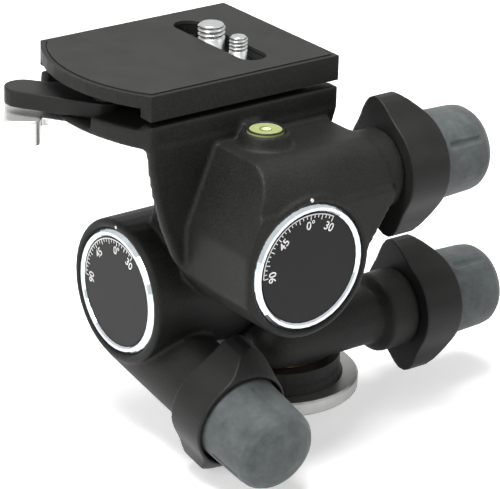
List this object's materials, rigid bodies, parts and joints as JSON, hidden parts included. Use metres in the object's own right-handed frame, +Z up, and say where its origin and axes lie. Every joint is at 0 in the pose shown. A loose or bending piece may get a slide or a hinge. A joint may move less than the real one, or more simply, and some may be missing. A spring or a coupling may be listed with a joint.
{
  "type": "geared tripod head",
  "caption": "Geared tripod head with worm-driven pan, tilt and roll, release levers, rubber knobs, angle dials, bubble level and quick-release plate.",
  "frame": {"origin": "centre of the base disc's underside, on the pan axis", "axes": "+Z up along the pan axis; +X along the plate's long side towards the pan and roll knobs; +Y away from the tilt knob"},
  "size_m": [0.1778, 0.1167, 0.1413],
  "materials": {
    "satin_black": "grainy satin powder coat",
    "plain_black": "matt",
    "rubber_grey": "matt moulded rubber",
    "pad_grey": "fine-grained matt",
    "bare_steel": "machined",
    "chrome": "polished",
    "brass": "machined",
    "silver_paint": "satin silver paint",
    "level_green": "clear"
  },
  "bodies": {
    "base": {"base_disc": "bare_steel", "base_thread_bush": "bare_steel", "base_neck": "satin_black", "pan_spindle": "bare_steel", "pan_thrust_washer": "brass", "pan_worm_wheel": "brass"},
    "pan": {"pan_housing": "satin_black", "tilt_spindle": "bare_steel", "tilt_dial_screw": "bare_steel", "tilt_dial": "plain_black", "tilt_dial_ring": "chrome", "tilt_worm_wheel": "brass"},
    "tilt": {"tilt_housing": "satin_black", "roll_spindle": "bare_steel", "roll_dial_screw": "bare_steel", "roll_dial": "plain_black", "roll_dial_ring": "chrome", "roll_worm_wheel": "brass"},
    "roll": {"roll_housing": "satin_black", "level_vial": "level_green", "clamp_lever_screw": "bare_steel"},
    "clamp": {"clamp_lever": "plain_black"},
    "catch": {"safety_catch": "silver_paint"},
    "plate": {"quick_release_plate": "satin_black", "plate_pad": "pad_grey"},
    "large_screw": {"camera_screw_large": "bare_steel"},
    "small_screw": {"camera_screw_small": "bare_steel"},
    "pan_knob": {"pan_worm": "bare_steel", "pan_knob": "rubber_grey", "pan_knob_core": "plain_black"},
    "pan_lever": {"pan_release_lever": "plain_black", "pan_release_sleeve": "brass"},
    "tilt_knob": {"tilt_worm": "bare_steel", "tilt_knob": "rubber_grey", "tilt_knob_core": "plain_black"},
    "tilt_lever": {"tilt_release_lever": "plain_black", "tilt_release_sleeve": "brass"},
    "roll_knob": {"roll_worm": "bare_steel", "roll_knob": "rubber_grey", "roll_knob_core": "plain_black"},
    "roll_lever": {"roll_release_lever": "plain_black", "roll_release_sleeve": "brass"}
  },
  "joints": [
    {"name": "pan_turn", "type": "hinge", "parent": "base", "child": "pan", "pos_m": [0, 0, 0.0261], "axis": [0, 0, 1], "continuous": true},
    {"name": "tilt_turn", "type": "hinge", "parent": "pan", "child": "tilt", "pos_m": [-0.0473, 0.0087, 0.0473], "axis": [-1, 0, 0], "range_deg": [-30, 90]},
    {"name": "roll_turn", "type": "hinge", "parent": "tilt", "child": "roll", "pos_m": [-0.0313, -0.0416, 0.0729], "axis": [0, 1, 0], "range_deg": [-90, 30]},
    {"name": "pan_knob_turn", "type": "hinge", "parent": "pan", "child": "pan_knob", "pos_m": [0, -0.0167, 0.0261], "axis": [1, 0, 0], "continuous": true},
    {"name": "tilt_knob_turn", "type": "hinge", "parent": "tilt", "child": "tilt_knob", "pos_m": [-0.0473, 0.01264, 0.02606], "axis": [0, -0.9833, -0.1822], "continuous": true},
    {"name": "roll_knob_turn", "type": "hinge", "parent": "roll", "child": "roll_knob", "pos_m": [-0.0313, -0.0416, 0.0945], "axis": [1, 0, 0], "continuous": true},
    {"name": "pan_lever_turn", "type": "hinge", "parent": "pan", "child": "pan_lever", "pos_m": [0, -0.0167, 0.0261], "axis": [-1, 0, 0], "range_deg": [0, 35], "stiffness_Nm_per_rad": 0.6, "springref_deg": -8.59},
    {"name": "tilt_lever_turn", "type": "hinge", "parent": "tilt", "child": "tilt_lever", "pos_m": [-0.0473, 0.01264, 0.02606], "axis": [0, 0.9833, 0.1822], "range_deg": [0, 35], "stiffness_Nm_per_rad": 0.6, "springref_deg": -8.59},
    {"name": "roll_lever_turn", "type": "hinge", "parent": "roll", "child": "roll_lever", "pos_m": [-0.0313, -0.0416, 0.0945], "axis": [-1, 0, 0], "range_deg": [0, 35], "stiffness_Nm_per_rad": 0.6, "springref_deg": -8.59},
    {"name": "clamp_lever_turn", "type": "hinge", "parent": "roll", "child": "clamp", "pos_m": [-0.067, 0.0105, 0.117], "axis": [0, 0, 1], "range_deg": [0, 60]},
    {"name": "safety_catch_turn", "type": "hinge", "parent": "roll", "child": "catch", "pos_m": [-0.067, 0.0105, 0.1106], "axis": [0, 0, -1], "range_deg": [0, 20], "stiffness_Nm_per_rad": 0.2, "springref_deg": -8.59},
    {"name": "plate_lift", "type": "slide", "parent": "roll", "child": "plate", "axis": [0, 0, 1], "range_m": [0, 0.03]},
    {"name": "large_screw_turn", "type": "hinge", "parent": "plate", "child": "large_screw", "pos_m": [-0.02, 0.0156, 0.13], "axis": [0, 0, 1], "continuous": true},
    {"name": "small_screw_turn", "type": "hinge", "parent": "plate", "child": "small_screw", "pos_m": [-0.02, 0, 0.13], "axis": [0, 0, 1], "continuous": true}
  ],
  "couplings": [
    {"joint": "pan_knob_turn", "follows": "pan_turn", "ratio": 32},
    {"joint": "tilt_knob_turn", "follows": "tilt_turn", "ratio": 48},
    {"joint": "roll_knob_turn", "follows": "roll_turn", "ratio": 48}
  ]
}
